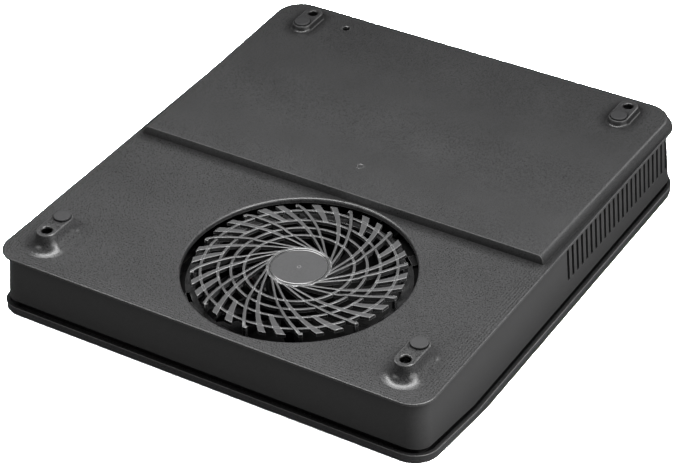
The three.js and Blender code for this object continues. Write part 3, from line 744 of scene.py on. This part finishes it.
# ------------------------------------------------------------------ top shell
# A shallow moulded tray. Its lip stands out round the wall, its front bends up, and rows of air slots go
# through its deck. Posts inside take the case screws.
shell = slab("shell", -1, -60, 0)
combine(shell, lip_layer("shell_outside", -5.3, 0), "INTERSECT")
tray = slab("tray", 1.4, -60, 0)
combine(tray, lip_layer("tray_depth", -2.9, 20), "INTERSECT")
combine(shell, tray, "DIFFERENCE")
soften(shell, 0.3, 3)
rib = slab("rib", 5.4, -60, 0)
combine(rib, lip_layer("rib_height", -4.3, 8), "INTERSECT")
combine(rib, slab("rib_inside", 7.2, -60, 5), "DIFFERENCE")
combine(shell, rib, "UNION")
post_section = [(1.7, -43.2), (4.2, -43.2), (4, -6.8), (3.8, -6.5), (1.7, -6.5), (1.7, -43.2)]
for place in feet:
    combine(shell, turned("post", middle_of("case_screw_" + place), post_section, 24), "UNION")


def air_slots():
    """The tools that cut the row of long slots with round ends."""
    piece = rounded_block("air_slots", (-80, -73, -55), (-74, 98, -35), 2.98, 2.98, 6)
    settle(piece, "ARRAY", count=12, use_relative_offset=False, use_constant_offset=True,
           constant_offset_displace=(14 * MM, 0, 0))
    return piece


combine(shell, air_slots(), "DIFFERENCE")
# The lip gets a strong painted highlight along its edges, and painted shade in its corners.
shell_plastic = smooth_plastic("shell_plastic", (0.035, 0.035, 0.0355), (0.05, 0.05, 0.051), 0.3, 0.7,
                               depth=0.02, edge=0.45, reach=8)
dress(shell, shell_plastic, 36)
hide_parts("top_shell")
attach(shell, "housing")

# ------------------------------------------------------------------ laptop platform and grip pads
# The laptop rests on a painted sheet-metal plate under the shell, cut with the same air slots. Two soft bars
# at the user's edge keep it from sliding off.
plate = rounded_block("plate", (-136.9, -92, -47.5), (136.9, 154.4, -45.8), 5, 18)
combine(plate, air_slots(), "DIFFERENCE")
soften(plate, 0.3)


def powder_paint(name, dark, light):
    """Powder paint on steel: satin, with the soft dimples of orange peel."""
    material, tree, skin, place = fresh_material(name)
    skin.inputs["Coat Weight"].default_value = 0.3
    skin.inputs["Coat Roughness"].default_value = 0.3
    dimples = noise(tree, place, 1.3, 1.0)
    ramp(tree, noise(tree, place, 0.5), skin.inputs["Base Color"], dark, light)
    scale_to(tree, dimples, skin.inputs["Roughness"], 0.38, 0.5)
    bump(tree, dimples, skin, 0.06, 0.5)
    return material


dress(plate, powder_paint("platform_paint", (0.014, 0.014, 0.015), (0.026, 0.026, 0.027)), 36)
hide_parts("laptop_platform")
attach(plate, "housing")
for side, place in ((-1, "left"), (1, "right")):
    x = 129 * side
    bar = rounded_block("grip_" + place, (x - 6, -96.6, -47.5), (x + 6, -92.4, -45.8), 1.6, 1.6, 6)
    for groove in (-3.6, -1.2, 1.2, 3.6):
        tool = block("groove", (x + groove - 0.35, -98, -48), (x + groove + 0.35, -91, -47.15))
        combine(bar, tool, "DIFFERENCE")
    soften(bar, 0.2)
    dress(bar, foot_rubber)
    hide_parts("grip_pad_" + place)
    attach(bar, "housing")

# ------------------------------------------------------------------ fan frame
# The fan's square black housing: a flange with a flared round bore, four struts below, and the motor base
# with its bearing tube. Four long screws hold it under the cover.
frame_corners = (fan_x - 60, fan_y - 60, -34.8), (fan_x + 60, fan_y + 60, -9.8)
fan_frame = rounded_block("fan_frame_body", *frame_corners, 6, 6, 8)
bore = [(0, -36), (58.2, -36), (58.2, -13), (58.35, -11.8), (58.8, -10.8), (59.6, -9.8), (59.6, -9), (0, -9)]
combine(fan_frame, turned("bore", (fan_x, fan_y), bore, 128), "DIFFERENCE")
# Each side has a shallow recess, and each corner a screw hole.
recess = block("recess", (fan_x - 26, fan_y + 59.1, -30.8), (fan_x + 26, fan_y + 62, -13.8))
screw_hole = turned("screw_hole", (fan_x + FAN_SCREWS, fan_y), [(0, -8), (2.1, -8), (2.1, -36), (0, -36)], 24)
for quarter in range(4):
    combine(fan_frame, turn_copy(recess, 90 * quarter), "DIFFERENCE")
    combine(fan_frame, turn_copy(screw_hole, 45 + 90 * quarter), "DIFFERENCE")
bpy.data.objects.remove(recess)
bpy.data.objects.remove(screw_hole)
soften(fan_frame, 0.3)
motor_section = [(0, -34.8), (18.6, -34.8), (19, -34.4), (19, -32.7), (18.7, -32.4), (4.2, -32.4),
                 (4.2, -19.2), (4.0, -19), (2.9, -19), (2.9, -33.8), (0, -33.8)]
motor_base = turned("motor_base", (fan_x, fan_y), motor_section, 64)
lead_hole = turned("lead_hole", (fan_x - 12, fan_y + 3.6), [(0, -30), (2.8, -30), (2.8, -36), (0, -36)], 24)
combine(motor_base, lead_hole, "DIFFERENCE")
strut = block("strut", (fan_x + 18.2, fan_y - 2, -34.75), (fan_x + 59, fan_y + 2, -32.45))
round_edges(strut, lambda a, b: abs(a.x - b.x) > 1, 0.5, 3)
frame_parts = [fan_frame, motor_base] + [turn_copy(strut, angle) for angle in (34, 126, 212, 304)]
bpy.data.objects.remove(strut)
fan_frame = joined("fan_housing", frame_parts)
# The fan's near-black is partly its own black and partly painted shade that keeps it dark under the grille;
# painted shade with a long reach darkens it further, and a faint painted highlight lies along its edges.
fan_plastic = smooth_plastic("fan_plastic", (0.005, 0.005, 0.005), (0.01, 0.01, 0.01), 0.45, 0.5,
                             edge=0.02, specular=0.12, reach=30)
dress(fan_frame, fan_plastic, 36)
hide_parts("fan_frame")
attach(fan_frame, "housing")

# ------------------------------------------------------------------ fan rotor
# Seven twisted blades are moulded in one with the cup that holds the magnet. The cup's rim is rounded, and
# the whole rotor spins with the shaft pressed into its middle.
cup_section = [(0, -15), (1.75, -15), (1.75, -17), (3, -17), (3, -13.4), (17, -13.4), (17, -31.4),
               (18.6, -31.4), (18.6, -13), (18.4, -12.3), (17.9, -11.75), (17.2, -11.45), (16.6, -11.4),
               (0, -11.4)]


def blade_row(station):
    """A blade's leading and trailing points, from its root at station 0 to its tip at station 3."""
    radius = 17.9 + 12.9 * station
    pitch = math.radians(52 - 8 * station)
    chord = 21 + 5 * station
    row = []
    for share in (0.5, -0.5):
        turn = 0.14 * station + share * chord * math.cos(pitch) / radius
        height = -21.5 + share * chord * math.sin(pitch)
        x, y = fan_x + radius * math.cos(turn), fan_y + radius * math.sin(turn)
        row.append((x, y, min(max(height, -30.2), -12.4)))
    return row


blade = ribbon("blade", [blade_row(3 * i / 12) for i in range(13)])
settle(blade, "SOLIDIFY", thickness=1.6 * MM, offset=0)
soften(blade, 0.45, 3, 60)
rotor_parts = [turned("cup", (fan_x, fan_y), cup_section, 64)]
rotor_parts += [turn_copy(blade, 360 * i / 7) for i in range(7)]
bpy.data.objects.remove(blade)
rotor = joined("rotor_moulding", rotor_parts)
dress(rotor, fan_plastic, 36)
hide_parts("fan_rotor")
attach(rotor, "rotor")

# ------------------------------------------------------------------ fan motor and fixings
# Inside the cup: a ground shaft in a porous bronze bearing, a stack of steel laminations with four copper
# coils, a ring magnet and a green board. Long plated screws clamp the fan to the cover.


def coat(material, *names):
    """Gives frame parts a finish."""
    for name in names:
        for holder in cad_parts[name].material_slots:
            holder.material = material


def banded(name, dark, light, roughness, pitch, metallic):
    """A surface built up in thin layers, such as a winding or a stack of sheets."""
    material, tree, skin, place = fresh_material(name)
    skin.inputs["Metallic"].default_value = metallic
    layers = node(tree, "TexWave", Scale=1 / (pitch * MM * math.tau), Distortion=0.6, Detail=1.0)
    layers.bands_direction = "Z"
    tree.links.new(place, layers.inputs["Vector"])
    ramp(tree, layers.outputs["Fac"], skin.inputs["Base Color"], dark, light, 0.2, 0.8)
    scale_to(tree, noise(tree, place, 0.8), skin.inputs["Roughness"], roughness - 0.08, roughness + 0.08)
    bump(tree, layers.outputs["Fac"], skin, 0.12)
    return material


ground_steel = metal("ground_steel", (0.55, 0.55, 0.56), (0.7, 0.7, 0.71), 0.2, 3.0)
coat(ground_steel, "fan_shaft")
coat(screw_steel, "fan_screw_1", "fan_screw_2", "fan_screw_3", "fan_screw_4")
coat(metal("bearing_bronze", (0.33, 0.2, 0.09), (0.48, 0.31, 0.15), 0.45, 0.3), "fan_bearing")
coat(banded("stator_steel", (0.1, 0.1, 0.105), (0.3, 0.3, 0.31), 0.45, 0.5, 1.0), "stator_core")
coils = ("stator_coil_1", "stator_coil_2", "stator_coil_3", "stator_coil_4")
coat(banded("coil_copper", (0.32, 0.1, 0.03), (0.78, 0.36, 0.16), 0.32, 0.25, 1.0), *coils)
coat(rubber("magnet_ferrite", (0.025, 0.024, 0.023), (0.05, 0.048, 0.046)), "rotor_magnet")

# ------------------------------------------------------------------ boards and wiring
# The inlet board and the motor board are green glass-fibre laminate. Two thin PVC leads join them, red and
# black, and run along the deck under the fan.
# Like every smooth_plastic finish, these get a painted highlight along their edges and painted shade in their
# corners.
board_laminate = smooth_plastic("board_laminate", (0.004, 0.04, 0.014), (0.012, 0.09, 0.03), 0.4, 1.0, 0.03)
coat(board_laminate, "motor_board", "power_board")
coat(smooth_plastic("lead_red", (0.12, 0.008, 0.007), (0.2, 0.014, 0.012), 0.42, 0.5), "fan_lead_red")
coat(smooth_plastic("lead_black", (0.008, 0.008, 0.008), (0.018, 0.018, 0.018), 0.42, 0.5), "fan_lead_black")

# ------------------------------------------------------------------ power inlet and switch
# A plated metal socket and a small slide switch stand on the board just inside the rear wall. The black knob
# of the switch reaches out through its opening.
coat(metal("socket_metal", (0.5, 0.5, 0.51), (0.68, 0.68, 0.69), 0.28), "power_socket")
# Like every smooth_plastic finish, these get a painted highlight along their edges and painted shade in their
# corners.
coat(smooth_plastic("switch_plastic", (0.01, 0.01, 0.01), (0.02, 0.02, 0.02), 0.5, 0.5), "switch_body")
knob_plastic = smooth_plastic("knob_plastic", (0.02, 0.02, 0.02), (0.035, 0.035, 0.035), 0.35, 0.5)
coat(knob_plastic, "switch_slider")
